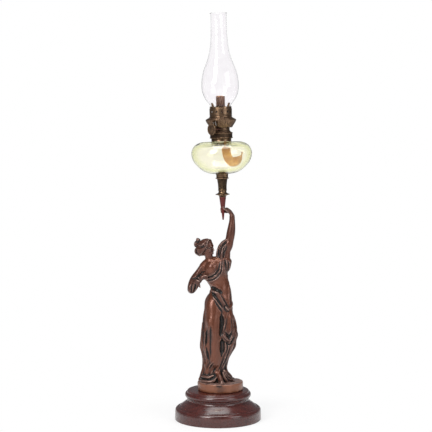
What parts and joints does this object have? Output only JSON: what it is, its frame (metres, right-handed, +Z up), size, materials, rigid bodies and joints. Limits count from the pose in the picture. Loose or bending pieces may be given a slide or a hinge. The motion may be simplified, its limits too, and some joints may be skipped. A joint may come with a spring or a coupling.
{
  "type": "figural oil lamp",
  "caption": "Oil table lamp: a draped figure on a turned wooden socle holds up a torch that carries a glass font, a brass burner and a glass chimney.",
  "frame": {"origin": "middle of the socle's underside", "axes": "+Z up, front of the figure towards -Y, raised arm on the +X side"},
  "size_m": [0.1776, 0.1776, 0.8345],
  "materials": {
    "socle_wood": "dark polished, worn at the edges",
    "bronzed_casting": "brown bronze patina, rubbed bright on the high places",
    "torch_enamel": "satin red-brown",
    "steel": "dull, darkened",
    "aged_brass": "aged, dark in the recesses",
    "tube_brass": "heat-darkened",
    "font_glass": "clear yellow-green, polished",
    "chimney_glass": "clear, blown",
    "wick_cotton": "woven cotton, oil-stained",
    "plaster": "matte",
    "gasket_leather": "pressed, matte"
  },
  "bodies": {
    "stand": {"lower_plinth": "socle_wood", "upper_plinth": "socle_wood", "terrace": "bronzed_casting", "tie_rod": "steel", "tie_washer": "steel", "tie_nut": "steel", "figure_skirt": "bronzed_casting", "figure_torso": "bronzed_casting", "figure_head": "bronzed_casting", "raised_arm": "bronzed_casting", "bent_arm": "bronzed_casting", "torch_handle": "torch_enamel", "torch_flange": "aged_brass", "torch_barrel": "aged_brass", "font_cup": "aged_brass", "torch_link": "steel", "glass_font": "font_glass", "peg_plaster": "plaster", "collar_plaster": "plaster", "font_collar": "aged_brass"},
    "gasket": {"collar_gasket": "gasket_leather"},
    "burner": {"burner_bowl": "aged_brass", "burner_thread": "aged_brass", "air_basket": "aged_brass", "chimney_gallery": "aged_brass", "wick_tube": "tube_brass", "draught_tube": "tube_brass", "shaft_sleeve": "aged_brass"},
    "winder": {"wick_shaft": "aged_brass", "wick_knob": "aged_brass", "spur_wheels": "aged_brass"},
    "wick": {"wick": "wick_cotton"},
    "chimney": {"chimney": "chimney_glass"}
  },
  "joints": [
    {"name": "gasket_lift", "type": "slide", "parent": "stand", "child": "gasket", "axis": [-0.0232, 0, 0.9997], "range_m": [0, 0.0055]},
    {"name": "burner_unscrew", "type": "hinge", "parent": "gasket", "child": "burner", "pos_m": [0.0064, 0, 0.59435], "axis": [-0.0232, 0, 0.9997], "range_deg": [0, 1080]},
    {"name": "knob_turn", "type": "hinge", "parent": "burner", "child": "winder", "pos_m": [0.01414, -0.00867, 0.59933], "axis": [-0.7406, -0.6717, -0.0172], "range_deg": [-95, 95]},
    {"name": "wick_lift", "type": "slide", "parent": "burner", "child": "wick", "axis": [-0.0232, 0, 0.9997], "range_m": [-0.005, 0.005]},
    {"name": "chimney_lift", "type": "slide", "parent": "burner", "child": "chimney", "axis": [-0.0232, 0, 0.9997], "range_m": [0, 0.045]}
  ],
  "couplings": [
    {"joint": "gasket_lift", "follows": "burner_unscrew", "m_per_rad": 0.00028648},
    {"joint": "wick_lift", "follows": "knob_turn", "m_per_rad": -0.003}
  ]
}
